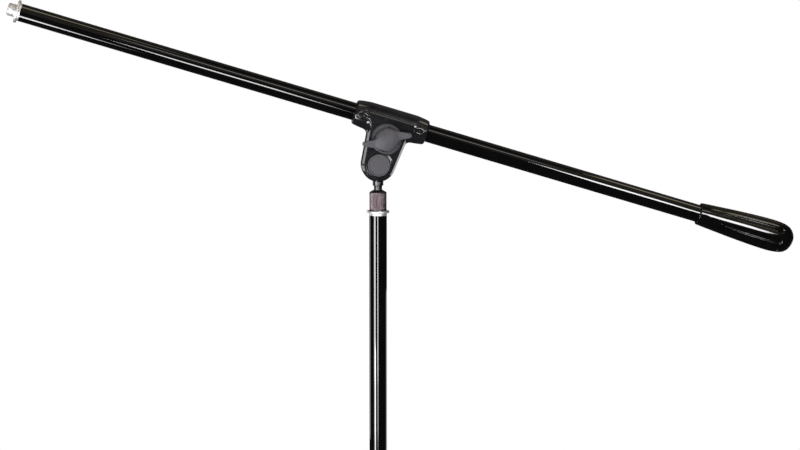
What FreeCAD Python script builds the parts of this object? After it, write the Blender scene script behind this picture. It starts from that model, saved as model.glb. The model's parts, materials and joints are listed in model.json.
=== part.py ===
import FreeCAD, Part
import math
import os
import Sketcher

# Boom microphone stand, in millimetres. +Z is up and the floor is z = 0. The column stands on the
# Z axis. The boom lies in the XZ plane, its microphone end up and towards -X, its counterweight down
# and towards +X. The wing knob faces -Y.

doc = FreeCAD.newDocument("boom_microphone_stand")
sheet = doc.addObject("Spreadsheet::Sheet", "sizes")


# ---------------------------------------------------------------- sizes

class Size:
    """A length or an angle: its value, and the spreadsheet expression that gives it."""

    def __init__(self, text, value):
        self.text = text
        self.value = float(value)

    def __add__(self, other):
        return Size(f"({self.text} + {text_of(other)})", self.value + value_of(other))

    def __radd__(self, other):
        return as_size(other) + self

    def __sub__(self, other):
        return Size(f"({self.text} - {text_of(other)})", self.value - value_of(other))

    def __rsub__(self, other):
        return as_size(other) - self

    def __mul__(self, other):
        return Size(f"({self.text} * {text_of(other)})", self.value * value_of(other))

    def __rmul__(self, other):
        return as_size(other) * self

    def __truediv__(self, other):
        return Size(f"({self.text} / {text_of(other)})", self.value / value_of(other))

    def __neg__(self):
        return Size(f"(0 - {self.text})", -self.value)


def text_of(number):
    return number.text if isinstance(number, Size) else repr(number)


def value_of(number):
    return number.value if isinstance(number, Size) else float(number)


def as_size(number):
    return number if isinstance(number, Size) else Size(repr(number), number)


def sine(angle):
    return Size(f"sin({angle.text})", math.sin(math.radians(angle.value)))


def cosine(angle):
    return Size(f"cos({angle.text})", math.cos(math.radians(angle.value)))


sheet_rows = []


def size(alias, value, meaning):
    """One row of the sheet: what the size is, and its value under an alias."""
    sheet_rows.append(alias)
    row = len(sheet_rows)
    sheet.set(f"A{row}", meaning)
    sheet.set(f"B{row}", str(value))
    sheet.setAlias(f"B{row}", alias)
    return Size(f"sizes.{alias}", value)


tube_radius = size("tube_radius", 11.1, "boom and upper tube, half of 7/8 in")
tube_wall = size("tube_wall", 1.2, "wall of the boom and the upper tube")
stud_radius = size("stud_radius", 7.94, "5/8 in 27 thread, over its crests")
flange_radius = size("flange_radius", 14.3, "flange of a thread insert")
flange_thickness = size("flange_thickness", 2.8, "flange of a thread insert")
collar_height = size("collar_height", 3.1, "collar between an insert's flange and its tube")
running_gap = size("running_gap", 0.05, "radial clearance of a running fit")
face_gap = size("face_gap", 0.1, "clearance between flat faces that turn on each other")

base_radius = size("base_radius", 152.5, "round base, half of 12 in")
base_rim_height = size("base_rim_height", 13, "top of the base's outer edge above the floor")
pad_height = size("pad_height", 2.5, "rubber ring below the casting")
pad_radius = size("pad_radius", 140, "outer radius of the rubber ring")
pad_width = size("pad_width", 12, "width of the rubber ring")
hub_radius = size("hub_radius", 25, "hub of the base")
hub_height = size("hub_height", 37, "top of the hub above the floor")

lower_radius = size("lower_radius", 14.3, "lower tube, half of 1 1/8 in")
lower_wall = size("lower_wall", 1.5, "wall of the lower tube")
lower_top = size("lower_top", 800, "top of the lower tube")
grip_radius = size("grip_radius", 22.5, "grip of the height clutch")
grip_length = size("grip_length", 74, "length of the height clutch's grip")

mast_flange_top = size("mast_flange_top", 1200, "top of the upper tube's flange at rest")
mast_length = size("mast_length", 840, "length of the upper tube")
mast_stud_length = size("mast_stud_length", 16, "thread above the upper flange")

coupling_radius = size("coupling_radius", 10.75, "knurled coupling nut")
coupling_lift = size("coupling_lift", 0.6, "gap below the coupling nut")
coupling_height = size("coupling_height", 25.5, "length of the coupling nut")
coupling_chamfer = size("coupling_chamfer", 2.8, "height of the nut's top chamfer")
neck_radius = size("neck_radius", 5.15, "neck of the swivel spindle")
collar_radius = size("collar_radius", 6.75, "collar of the swivel spindle")
eye_radius = size("eye_radius", 16, "eye of the swivel spindle")
eye_thickness = size("eye_thickness", 12, "thickness of the eye")
pivot_rise = size("pivot_rise", 58.4, "tilt axis above the upper flange")
pin_radius = size("pin_radius", 5, "pivot pin")

boom_tilt = size("boom_tilt", 16.75, "slope of the boom at rest, in degrees")
boom_rise = size("boom_rise", 55, "boom axis above the tilt axis, square to the boom")
bolt_rise = size("bolt_rise", 34, "clamp bolt above the tilt axis, square to the boom")
bolt_radius = size("bolt_radius", 4, "M8 clamp bolt")
cheek_inner = size("cheek_inner", 7.2, "half of the space between the cheeks")
cheek_outer = size("cheek_outer", 17.6, "half of the width over the cheeks")
parting_gap = size("parting_gap", 0.5, "half of the gap between the two castings")
head_foot_radius = size("head_foot_radius", 21.5, "round lower end of the cheeks")
head_shoulder = size("head_shoulder", 24.8, "half of the cheeks' width below the sleeve")
sleeve_half = size("sleeve_half", 47.4, "half of the sleeve's length")
sleeve_radius = size("sleeve_radius", 17.6, "sleeve at its middle")
sleeve_end_radius = size("sleeve_end_radius", 15, "sleeve at its ends")
boss_radius = size("boss_radius", 19.6, "boss under the wing knob, at its foot")
boss_rim_radius = size("boss_rim_radius", 16.6, "boss under the wing knob, at its face")
boss_face = size("boss_face", 21, "face of a boss from the middle plane")
spigot_radius = size("spigot_radius", 12, "front boss inside its plastic ring")
cap_radius = size("cap_radius", 14, "round disc on the pivot")
liner_wall = size("liner_wall", 1.3, "wall of the boom's nylon liner")

knob_radius = size("knob_radius", 14.4, "dome of the wing knob")
knob_height = size("knob_height", 14.5, "height of the dome")
wing_reach = size("wing_reach", 31.3, "tip of a wing from the knob's axis")
wing_tip_radius = size("wing_tip_radius", 2.9, "rounded tip of a wing")
wing_angle = size("wing_angle", 27.3, "wings turned up from the boom's direction, in degrees")
flute_depth_radius = size("flute_depth_radius", 16.4, "floor of a flute from the counterweight's axis")
flute_turn = size("flute_turn", 12.6, "first flute turned from the weight's top, in degrees")

boom_mic_end = size("boom_mic_end", 476.4, "boom's end at the microphone, from the head")
mic_stud_length = size("mic_stud_length", 10.5, "thread beyond the microphone end's flange")
weight_start = size("weight_start", 409, "front of the counterweight, from the head")
weight_length = size("weight_length", 127.5, "length of the counterweight")
weight_front_radius = size("weight_front_radius", 14, "counterweight at its front rim")
weight_radius = size("weight_radius", 20.05, "counterweight at its widest")
doc.recompute()

pivot_height = mast_flange_top + pivot_rise
boom_centre_x = boom_rise * sine(boom_tilt)
boom_centre_z = pivot_height + boom_rise * cosine(boom_tilt)
bolt_x = bolt_rise * sine(boom_tilt)
bolt_z = pivot_height + bolt_rise * cosine(boom_tilt)
tube_bore = tube_radius - tube_wall
lower_bore = lower_radius - lower_wall


# ---------------------------------------------------------------- sketches and features

def new_body(label):
    body = doc.addObject("PartDesign::Body", label)
    body.Label = label
    return body


def bind(thing, path, number):
    """Ties one property to the sheet. A plain number is set as it is."""
    thing.setExpression(path, text_of(number))


def place(body, x=0, z=0, tilt=None):
    """Puts a body at x and z, turned about Y."""
    if tilt is not None:
        body.Placement.Rotation = FreeCAD.Rotation(FreeCAD.Vector(0, 1, 0), value_of(tilt))
    body.Placement.Base = FreeCAD.Vector(value_of(x), 0, value_of(z))
    bind(body, ".Placement.Base.x", x)
    bind(body, ".Placement.Base.z", z)
    if tilt is not None:
        bind(body, ".Placement.Rotation.Angle", tilt)
    return body


def new_sketch(body, plane, out=None, up=None):
    """A sketch on one of the body's origin planes, moved out along its normal and up along its own y."""
    sketch = body.newObject("Sketcher::SketchObject", f"{body.Label}_sketch")
    support = [feature for feature in body.Origin.OriginFeatures if feature.Role == plane]
    sketch.AttachmentSupport = [(support[0], "")]
    sketch.MapMode = "FlatFace"
    if out is not None:
        bind(sketch, ".AttachmentOffset.Base.z", out)
    if up is not None:
        bind(sketch, ".AttachmentOffset.Base.y", up)
    return sketch


def fix_point(sketch, curve, end, x, y):
    """Holds one end of a curve, or a circle's centre, at x and y."""
    for kind, axis, number in (("DistanceX", -2, x), ("DistanceY", -1, y)):
        if not isinstance(number, Size) and number == 0:
            sketch.addConstraint(Sketcher.Constraint("PointOnObject", curve, end, axis))
            continue
        where = sketch.addConstraint(Sketcher.Constraint(kind, -1, 1, curve, end, value_of(number)))
        if isinstance(number, Size):
            sketch.setExpression(f"Constraints[{where}]", number.text)


def fix_radius(sketch, curve, radius):
    where = sketch.addConstraint(Sketcher.Constraint("Radius", curve, value_of(radius)))
    if isinstance(radius, Size):
        sketch.setExpression(f"Constraints[{where}]", radius.text)


def arc_between(start, finish, radius, left):
    """The short arc from start to finish. Its middle bulges to the left or the right of the travel.
    Returns the curve, and the ends of the curve that start and finish are."""
    chord = finish - start
    half = chord.Length / 2
    side = FreeCAD.Vector(-chord.y, chord.x, 0).normalize()
    if not left:
        side = -side
    centre = (start + finish) / 2 - side * math.sqrt(radius * radius - half * half)
    circle = Part.Circle(centre, FreeCAD.Vector(0, 0, 1), radius)
    first, last = (finish, start) if left else (start, finish)
    angles = [math.atan2(point.y - centre.y, point.x - centre.x) for point in (first, last)]
    if angles[1] < angles[0]:
        angles[1] += 2 * math.pi
    curve = Part.ArcOfCircle(circle, angles[0], angles[1])
    return (curve, 2, 1) if left else (curve, 1, 2)


def draw_outline(sketch, points):
    """A closed outline. Each point is (x, y) for a straight line to it, or (x, y, radius, side) for an
    arc to it that bulges to the "left" or "right" of the travel."""
    places = [FreeCAD.Vector(value_of(point[0]), value_of(point[1]), 0) for point in points]
    ends = []
    for index, point in enumerate(points):
        start = places[index - 1]
        finish = places[index]
        if len(point) == 2:
            curve = sketch.addGeometry(Part.LineSegment(start, finish))
            ends.append((curve, 1, 2))
            continue
        arc, first, last = arc_between(start, finish, value_of(point[2]), point[3] == "left")
        curve = sketch.addGeometry(arc)
        ends.append((curve, first, last))
        fix_radius(sketch, curve, point[2])
    for index, (curve, first, last) in enumerate(ends):
        follower, follower_first, _ = ends[(index + 1) % len(ends)]
        sketch.addConstraint(Sketcher.Constraint("Coincident", curve, last, follower, follower_first))
        fix_point(sketch, curve, last, points[index][0], points[index][1])


def dome_radius(width, height):
    """Radius of the arc that meets the axis square, from its half-width and its height."""
    return (width * width + height * height) / (height * 2)


def draw_circle(sketch, x, y, radius):
    centre = FreeCAD.Vector(value_of(x), value_of(y), 0)
    curve = sketch.addGeometry(Part.Circle(centre, FreeCAD.Vector(0, 0, 1), value_of(radius)))
    fix_point(sketch, curve, 3, x, y)
    fix_radius(sketch, curve, radius)


def failed(thing):
    return any(word in thing.State for word in ("Invalid", "Error"))


def settle(body, feature, before, removes):
    """Recomputes, and makes sure that the feature worked and changed the body's volume as it should."""
    doc.recompute()
    if failed(feature):
        raise RuntimeError(f"{body.Label}: {feature.Name} failed")
    change = body.Shape.Volume - before
    if (removes and change >= 0) or (not removes and change <= 0):
        raise RuntimeError(f"{body.Label}: {feature.Name} changed the volume by {change:.3f}")
    return feature


def volume_of(body):
    return body.Shape.Volume if body.Tip else 0.0


def extrude(body, sketch, length, removes=False, backwards=False, taper=0):
    """Pads a sketch along its normal, or cuts a pocket against it. Backwards turns the direction round.
    Taper leans the walls inwards, in degrees."""
    before = volume_of(body)
    kind = "PartDesign::Pocket" if removes else "PartDesign::Pad"
    feature = body.newObject(kind, f"{body.Label}_feature")
    feature.Profile = sketch
    feature.Reversed = backwards
    bind(feature, "Length", length)
    if taper:
        feature.TaperAngle = -taper
    return settle(body, feature, before, removes)


def revolve(body, sketch, axis, removes=False):
    before = volume_of(body)
    kind = "PartDesign::Groove" if removes else "PartDesign::Revolution"
    feature = body.newObject(kind, f"{body.Label}_feature")
    feature.Profile = sketch
    feature.ReferenceAxis = (sketch, [axis])
    feature.Angle = 360
    return settle(body, feature, before, removes)


def repeat_round(body, features, role, count, removes):
    """Repeats features round one of the body's own axes."""
    before = volume_of(body)
    pattern = body.newObject("PartDesign::PolarPattern", f"{body.Label}_pattern")
    pattern.Originals = features
    pattern.Axis = ([item for item in body.Origin.OriginFeatures if item.Role == role][0], [""])
    pattern.Angle = 360
    pattern.Occurrences = count
    body.Tip = pattern
    return settle(body, pattern, before, removes)


# Where a piece turned about each axis is drawn, the sketch line that it turns about, and whether the
# sketch's x is the distance along the axis.
TURNING = {
    "Z": ("XZ_Plane", "V_Axis", False),
    "Y": ("XY_Plane", "V_Axis", False),
    "X": ("XZ_Plane", "H_Axis", True),
}


def turn_profile(body, axis, points, removes=False, up=None, out=None):
    """Turns a closed half-section, given as (radius, distance along the axis) points, about an axis.
    Up or out moves the axis away from the body's own."""
    plane, line, swapped = TURNING[axis]
    sketch = new_sketch(body, plane, out=out, up=up)
    if swapped:
        other = {"left": "right", "right": "left"}
        points = [
            (point[1], point[0]) + ((point[2], other[point[3]]) if len(point) > 2 else ())
            for point in points
        ]
    draw_outline(sketch, points)
    return revolve(body, sketch, line, removes)


def turned(label, axis, points):
    body = new_body(label)
    turn_profile(body, axis, points)
    return body


def tube_profile(inner, outer, start, finish):
    return [(inner, start), (outer, start), (outer, finish), (inner, finish)]


def hexagon(sketch, x, y, across_flats):
    """Six corners round x and y, two of the flats level."""
    corner = across_flats / math.sqrt(3)
    points = []
    for index in range(6):
        angle = math.radians(60 * index)
        points.append((x + corner * math.cos(angle), y + corner * math.sin(angle)))
    draw_outline(sketch, points)


# ---------------------------------------------------------------- base

pad_lip = 2


def make_base_plate():
    """Cast weight: a shallow dome with a hub, recessed below, bored for the column's foot."""
    bore = stud_radius + running_gap
    nut_recess, nut_recess_radius = pad_height + 12, 17
    washer_floor, floor_radius = pad_height + 1, 24
    recess_top, recess_start = pad_height + 6, 30
    rim_round, rim_chamfer, hub_round = 5, 2, 2
    shoulder_radius, shoulder_height = 60, base_rim_height + 9
    dish_radius, dish_height = hub_radius + 4, shoulder_height + 5
    hub_foot = shoulder_height + 10
    dome_curve, dish_curve, hub_curve = 1200, 60, 8
    body = turned("base_plate", "Z", [
        (bore, nut_recess),
        (nut_recess_radius, nut_recess),
        (nut_recess_radius, washer_floor),
        (floor_radius, washer_floor),
        (recess_start, recess_top),
        (pad_radius - pad_width - 8, recess_top),
        (pad_radius - pad_width - 4, pad_height),
        (base_radius - rim_chamfer, pad_height),
        (base_radius, pad_height + rim_chamfer),
        (base_radius, base_rim_height - rim_round),
        (base_radius - rim_round, base_rim_height, rim_round, "right"),
        (shoulder_radius, shoulder_height, dome_curve, "right"),
        (dish_radius, dish_height, dish_curve, "left"),
        (hub_radius, hub_foot, hub_curve, "left"),
        (hub_radius, hub_height - hub_round),
        (hub_radius - hub_round, hub_height, hub_round, "right"),
        (bore, hub_height),
    ])
    turn_profile(body, "Z", tube_profile(
        pad_radius - pad_width, pad_radius, pad_height, pad_height + pad_lip), removes=True)
    return body


def make_base_ring_pad():
    """Rubber ring: the flat face that the stand rests on, and the lip that sits in the groove."""
    inner = pad_radius - pad_width
    chamfer = 1
    return turned("base_ring_pad", "Z", [
        (inner, pad_height + pad_lip),
        (inner, chamfer),
        (inner + chamfer, 0),
        (pad_radius - chamfer, 0),
        (pad_radius, chamfer),
        (pad_radius, pad_height + pad_lip),
    ])


def make_base_lock():
    """Washer and nut that hold the column's foot from below."""
    seat = pad_height + 12
    washer_radius, washer_thickness = 15, 1.6
    nut_height, nut_across_flats = 7, 24
    washer = turned("base_lock_washer", "Z", tube_profile(
        stud_radius + 0.1, washer_radius, seat - washer_thickness, seat))
    nut = new_body("base_lock_nut")
    sketch = new_sketch(nut, "XY_Plane", out=seat - washer_thickness - nut_height)
    hexagon(sketch, 0, 0, nut_across_flats)
    draw_circle(sketch, 0, 0, stud_radius)
    extrude(nut, sketch, nut_height)
    return [washer, nut]


# ---------------------------------------------------------------- lower column

def insert_profile(plug_radius, plug_length, outer, stud_reach, flat_radius):
    """Half-section of a thread insert, measured from its tube's end: plug, collar, flange and stud."""
    bore = 4
    lead = 1
    chamfer = 0.6
    flange_end = collar_height + flange_thickness
    top = flange_end + stud_reach
    return [
        (bore, -plug_length),
        (plug_radius, -plug_length),
        (plug_radius, 0),
        (outer, 0),
        (outer, collar_height),
        (flat_radius - chamfer, collar_height),
        (flat_radius, collar_height + chamfer),
        (flat_radius, flange_end - chamfer),
        (flat_radius - chamfer, flange_end),
        (stud_radius, flange_end),
        (stud_radius, top - lead),
        (stud_radius - lead, top),
        (bore, top),
    ]


lower_tube_end = hub_height + flange_thickness + collar_height


def make_lower_column():
    tube = turned("lower_tube", "Z", tube_profile(lower_bore, lower_radius, lower_tube_end, lower_top))
    stud_end_height = pad_height + 4
    plug_length, foot_flange_radius = 30, lower_radius + 4
    profile = insert_profile(
        lower_bore, plug_length, lower_radius, hub_height - stud_end_height, foot_flange_radius)
    foot = turned("lower_tube_foot", "Z", [(radius, -along) for radius, along in profile])
    place(foot, 0, lower_tube_end)
    return [tube, foot]


# ---------------------------------------------------------------- height clutch

clutch_thread_radius = 17.6
cone_wide, cone_narrow = 16.6, 12.6
collet_top = 24


def make_clutch_body():
    """Collar on the lower tube: a stop, a thread for the grip, and a conical seat for the collet."""
    stop_radius, stop_bottom, stop_top = 19.5, -34, -26
    chamfer = 1
    thread_top, cone_foot = 14, 2
    return place(turned("clutch_body", "Z", [
        (lower_radius, stop_bottom),
        (stop_radius - chamfer, stop_bottom),
        (stop_radius, stop_bottom + chamfer),
        (stop_radius, stop_top),
        (clutch_thread_radius, stop_top),
        (clutch_thread_radius, thread_top),
        (cone_wide, thread_top),
        (cone_narrow, cone_foot),
        (cone_narrow, 0),
        (lower_radius, 0),
    ]), 0, lower_top)


def make_clutch_collet():
    """Split ring with a cone that wedges into the collar and a head that the grip pushes on."""
    bore = tube_radius + running_gap
    cone_start, cone_end = 3, 13
    head_radius = cone_wide - 0.6
    half_slit, slit_inside, slit_outside = 1, 8, 20
    body = turned("clutch_collet", "Z", [
        (bore, cone_start),
        (cone_narrow + 0.1, cone_start),
        (head_radius, cone_end),
        (head_radius, collet_top),
        (bore, collet_top),
    ])
    slit = new_sketch(body, "XY_Plane")
    draw_outline(slit, [
        (slit_inside, -half_slit), (slit_outside, -half_slit),
        (slit_outside, half_slit), (slit_inside, half_slit)])
    extrude(body, slit, collet_top + 2, removes=True, backwards=True)
    return place(body, 0, lower_top)


def make_clutch_grip():
    """Ribbed grip: threaded on the collar, with a cap that pushes the collet down."""
    bottom = -25
    top = bottom + grip_length
    thread = clutch_thread_radius + running_gap
    cap_underside = collet_top + face_gap
    mouth = tube_radius + 0.6
    chamfer, nose_length, nose_curve = 1.5, 22, 30
    nose_radius, nose_chamfer = 17, 1.5
    groove_count, groove_length, groove_curve, groove_out = 12, 40, 3.4, 2.2
    body = turned("clutch_grip", "Z", [
        (thread, bottom),
        (grip_radius - chamfer, bottom),
        (grip_radius, bottom + chamfer),
        (grip_radius, top - nose_length),
        (nose_radius, top - 2, nose_curve, "right"),
        (nose_radius - nose_chamfer, top),
        (mouth, top),
        (mouth, cap_underside),
        (thread, cap_underside),
    ])
    sketch = new_sketch(body, "XY_Plane", out=bottom + 3)
    draw_circle(sketch, grip_radius + groove_out, 0, groove_curve)
    groove = extrude(body, sketch, groove_length, removes=True, backwards=True)
    repeat_round(body, [groove], "Z_Axis", groove_count, removes=True)
    return place(body, 0, lower_top)


# ---------------------------------------------------------------- upper tube

mast_tube_end = mast_flange_top - flange_thickness - collar_height
mast_foot = mast_tube_end - mast_length
plug_spigot_radius = 8
plug_head_top = -23


def make_upper_tube():
    """The tube, the thread insert in its top, and the plug in its foot that carries the guide."""
    insert_length = 22
    head_radius, head_thickness, plug_length = 11.5, 3, 18
    tube = turned("upper_tube", "Z", tube_profile(tube_bore, tube_radius, 0, mast_length))
    place(tube, 0, mast_foot)
    insert = turned("mast_thread_insert", "Z", insert_profile(
        tube_bore, insert_length, tube_radius, mast_stud_length, flange_radius))
    place(insert, 0, mast_tube_end)
    plug = turned("mast_foot_plug", "Z", [
        (0, plug_head_top - head_thickness),
        (head_radius, plug_head_top - head_thickness),
        (head_radius, plug_head_top),
        (plug_spigot_radius, plug_head_top),
        (plug_spigot_radius, 0),
        (tube_bore, 0),
        (tube_bore, plug_length),
        (0, plug_length),
    ])
    place(plug, 0, mast_foot)
    return [tube, insert, plug]


def make_mast_guide():
    """Nylon bush that turns on the foot plug and slides in the lower tube."""
    bore = plug_spigot_radius + running_gap
    outer = lower_bore - running_gap
    bottom = plug_head_top + face_gap
    lead, chamfer = 0.9, 0.5
    return place(turned("mast_guide", "Z", [
        (bore, bottom),
        (outer - chamfer, bottom),
        (outer, bottom + lead),
        (outer, -face_gap - lead),
        (outer - chamfer, -face_gap),
        (bore, -face_gap),
    ]), 0, mast_foot)


# ---------------------------------------------------------------- coupling and swivel

spindle_head_radius = 7.6
spindle_head_height = 3.5
washer_thickness = 1
washer_top = mast_stud_length + face_gap + washer_thickness
spindle_head_top = washer_top + face_gap + spindle_head_height


def make_coupling_nut():
    """Nut on the mast's thread. Its shoulder pulls the spindle's head down on the stud."""
    top = coupling_lift + coupling_height
    thread = stud_radius + running_gap
    mouth = neck_radius + running_gap * 2
    cavity = thread + 0.5
    cavity_bottom = mast_stud_length - 2
    cavity_top = spindle_head_top + face_gap
    chamfer = 0.8
    return place(turned("coupling_nut", "Z", [
        (thread + chamfer, coupling_lift),
        (coupling_radius - chamfer, coupling_lift),
        (coupling_radius, coupling_lift + chamfer),
        (coupling_radius, top - coupling_chamfer),
        (neck_radius + 1, top),
        (mouth, top),
        (mouth, cavity_top),
        (cavity, cavity_top),
        (cavity, cavity_bottom),
        (thread, cavity_bottom),
        (thread, coupling_lift + chamfer),
    ]), 0, mast_flange_top)


def make_swivel_washer():
    bore = 4
    return place(turned("swivel_washer", "Z", tube_profile(
        bore, spindle_head_radius - 0.2, mast_stud_length, washer_top - face_gap)), 0, mast_flange_top)


def make_swivel_spindle():
    """Headed stem with a neck, a collar and, at the tilt axis, a flat round eye."""
    head_bottom = washer_top - pivot_rise
    head_top = spindle_head_top - pivot_rise
    neck_length = 5.8
    collar_bottom = coupling_lift + coupling_height + neck_length - pivot_rise
    collar_top = -(eye_radius - 1)
    collar_chamfer = 0.8
    root_radius, root_start, root_end = 5.6, collar_top + 1.2, collar_top + 4
    body = turned("swivel_spindle", "Z", [
        (0, head_bottom),
        (spindle_head_radius, head_bottom),
        (spindle_head_radius, head_top),
        (neck_radius, head_top),
        (neck_radius, collar_bottom - collar_chamfer),
        (neck_radius + collar_chamfer, collar_bottom),
        (collar_radius, collar_bottom),
        (collar_radius, collar_top),
        (root_radius, root_start),
        (root_radius, root_end),
        (0, root_end),
    ])
    sketch = new_sketch(body, "XZ_Plane", out=-eye_thickness / 2)
    draw_circle(sketch, 0, 0, eye_radius)
    extrude(body, sketch, eye_thickness)
    hole = new_sketch(body, "XZ_Plane", out=-eye_thickness)
    draw_circle(hole, 0, 0, pin_radius + running_gap)
    extrude(body, hole, eye_thickness * 2, removes=True, backwards=True)
    return place(body, 0, pivot_height)


# ---------------------------------------------------------------- boom head

liner_radius = tube_radius + running_gap + liner_wall
liner_space = liner_radius + running_gap
sleeve_underside = boom_rise - sleeve_radius
bore_lip = 2.4
bolt_neck_half = bolt_radius + 0.2
bolt_head_depth = 5
bolt_neck_depth = 3
cheek_edge = 9
face_taper = 22
seat_depth = 3
seat_floor = cheek_outer - seat_depth
boss_root = 8
knob_washer_thickness = 1
disc_rim_inner = cap_radius + 0.9
disc_rim_outer = disc_rim_inner + 3.1
disc_rim_height = 1


def front_boss_profile():
    """Round boss with a spigot that carries the plastic ring."""
    return [
        (0, -boss_root),
        (boss_radius, -boss_root),
        (boss_radius, -cheek_outer),
        (spigot_radius, -cheek_outer),
        (spigot_radius, -boss_face),
        (0, -boss_face),
    ]


def rear_boss_profile():
    """Cone round the bolt's head."""
    return [
        (0, boss_root),
        (boss_radius, boss_root),
        (boss_radius, cheek_outer - 0.5),
        (boss_rim_radius, boss_face),
        (0, boss_face),
    ]


def disc_rim_profile():
    """Raised ring round the disc on the pivot."""
    root, crest_width = 2, 1.6
    return [
        (disc_rim_inner, -cheek_outer + root),
        (disc_rim_inner, -cheek_outer - disc_rim_height),
        (disc_rim_inner + crest_width, -cheek_outer - disc_rim_height),
        (disc_rim_outer, -cheek_outer),
        (disc_rim_outer, -cheek_outer + root),
    ]


def cheek_outline():
    """Outline of a cheek in the head's own x and z: a round foot, straight sides and a flared top."""
    foot = head_foot_radius
    side = head_shoulder
    flare = 8
    flare_start = sleeve_underside - flare + 1.5
    top = boom_rise - 4
    lean = math.atan2(side.value - foot.value, flare_start.value)
    foot_corner = (foot * math.cos(lean), -foot * math.sin(lean))
    return [
        (-foot_corner[0], foot_corner[1]),
        (foot_corner[0], foot_corner[1], foot, "right"),
        (side, flare_start),
        (side + flare, flare_start + flare, flare, "left"),
        (side + flare, top),
        (-side - flare, top),
        (-side - flare, flare_start + flare),
        (-side, flare_start, flare, "left"),
    ]


def sleeve_profile():
    """Barrel of the sleeve: straight in the middle, tapered to rounded ends."""
    straight, rounding, taper_curve = 28, 2, 70
    inner = 4
    return [
        (inner, -sleeve_half),
        (sleeve_end_radius - rounding, -sleeve_half),
        (sleeve_end_radius, rounding - sleeve_half, rounding, "right"),
        (sleeve_radius, -straight, taper_curve, "right"),
        (sleeve_radius, straight),
        (sleeve_end_radius, sleeve_half - rounding, taper_curve, "right"),
        (sleeve_end_radius - rounding, sleeve_half, rounding, "right"),
        (inner, sleeve_half),
    ]


def draw_box(sketch, left, bottom, right, top):
    draw_outline(sketch, [(left, bottom), (right, bottom), (right, top), (left, top)])


def draw_square(sketch, height, half):
    draw_box(sketch, -half, height - half, half, height + half)


def cut_parting(body, sign, outward):
    """Removes everything beyond the parting face."""
    reach = sleeve_half + 10
    parting = new_sketch(body, "XZ_Plane", out=parting_gap * sign)
    draw_box(parting, -reach, -reach, reach, boom_rise + 30)
    extrude(body, parting, sleeve_radius + 10, removes=True, backwards=outward)


def cut_sleeve_bore(body):
    """Space for the liner between two lips, and the tube's way through them."""
    turn_profile(body, "X", tube_profile(
        0, liner_space, bore_lip - sleeve_half, sleeve_half - bore_lip), removes=True, up=boom_rise)
    turn_profile(body, "X", tube_profile(
        0, tube_radius + 0.5, -sleeve_half - 5, sleeve_half + 5), removes=True, up=boom_rise)


def cut_middle_space(body, inward):
    """Space for the eye and its swing, open at the sides, and for the spring above it."""
    side_opening, far = 15, 45
    pocket_half = 20.3
    pocket_top = boom_rise - liner_space - 1.6
    cavity = new_sketch(body, "XZ_Plane")
    draw_outline(cavity, [
        (-far, -far), (far, -far), (far, side_opening), (pocket_half, side_opening),
        (pocket_half, pocket_top), (-pocket_half, pocket_top), (-pocket_half, side_opening),
        (-far, side_opening)])
    extrude(body, cavity, cheek_inner, removes=True, backwards=inward)


def cut_holes(body, inward):
    """Holes for the pivot pin and the clamp bolt."""
    holes = new_sketch(body, "XZ_Plane")
    draw_circle(holes, 0, 0, pin_radius)
    draw_circle(holes, 0, bolt_rise, bolt_radius + 0.3)
    extrude(body, holes, boss_face + 5, removes=True, backwards=inward)


def cut_seat(body, depth, height, radius, inward):
    """Round counterbore, from a depth outwards."""
    seat = new_sketch(body, "XZ_Plane", out=depth)
    draw_circle(seat, 0, height, radius)
    extrude(body, seat, boss_face, removes=True, backwards=inward)


def make_clamp_half(label, front):
    """One casting: a cheek, half of the sleeve and a boss. The front one faces -Y."""
    body = new_body(label)
    outward = not front
    sign = 1 if front else -1
    cheek = new_sketch(body, "XZ_Plane")
    draw_outline(cheek, cheek_outline())
    extrude(body, cheek, cheek_edge, backwards=outward)
    face = new_sketch(body, "XZ_Plane", out=cheek_edge * sign)
    draw_outline(face, cheek_outline())
    extrude(body, face, cheek_outer - cheek_edge, backwards=outward, taper=face_taper)
    turn_profile(body, "X", sleeve_profile(), up=boom_rise)
    turn_profile(body, "Y", front_boss_profile() if front else rear_boss_profile(), out=bolt_rise)
    if front:
        turn_profile(body, "Y", disc_rim_profile())
    cut_parting(body, sign, outward)
    cut_sleeve_bore(body)
    cut_middle_space(body, inward=front)
    cut_holes(body, inward=front)
    if front:
        cut_seat(body, seat_floor, 0, cap_radius + 0.1, inward=True)
        return place(body, 0, pivot_height, boom_tilt)
    pivot_nut_seat, bolt_head_seat = 10, 9.2
    cut_seat(body, -seat_floor, 0, pivot_nut_seat, inward=False)
    cut_seat(body, bolt_head_depth - boss_face, bolt_rise, bolt_head_seat, inward=False)
    neck_room = bolt_head_depth + bolt_neck_depth + 0.5
    square = new_sketch(body, "XZ_Plane", out=neck_room - boss_face)
    draw_square(square, bolt_rise, bolt_neck_half + 0.2)
    extrude(body, square, boss_face, removes=True, backwards=False)
    return place(body, 0, pivot_height, boom_tilt)


def make_boss_ring():
    """Plastic ring on the front boss, conical outside, notched where the disc's rim passes."""
    bore = spigot_radius + running_gap
    edge = 0.4
    body = turned("boss_ring", "Y", [
        (bore, -cheek_outer),
        (boss_radius, -cheek_outer),
        (boss_radius, -cheek_outer - edge),
        (boss_rim_radius, -boss_face),
        (bore, -boss_face),
    ])
    notch_depth = disc_rim_height + face_gap
    notch = new_sketch(body, "XZ_Plane", out=cheek_outer + notch_depth)
    draw_circle(notch, 0, -bolt_rise, disc_rim_outer + face_gap)
    extrude(body, notch, notch_depth, removes=True)
    return place(body, bolt_x, bolt_z, boom_tilt)


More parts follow.
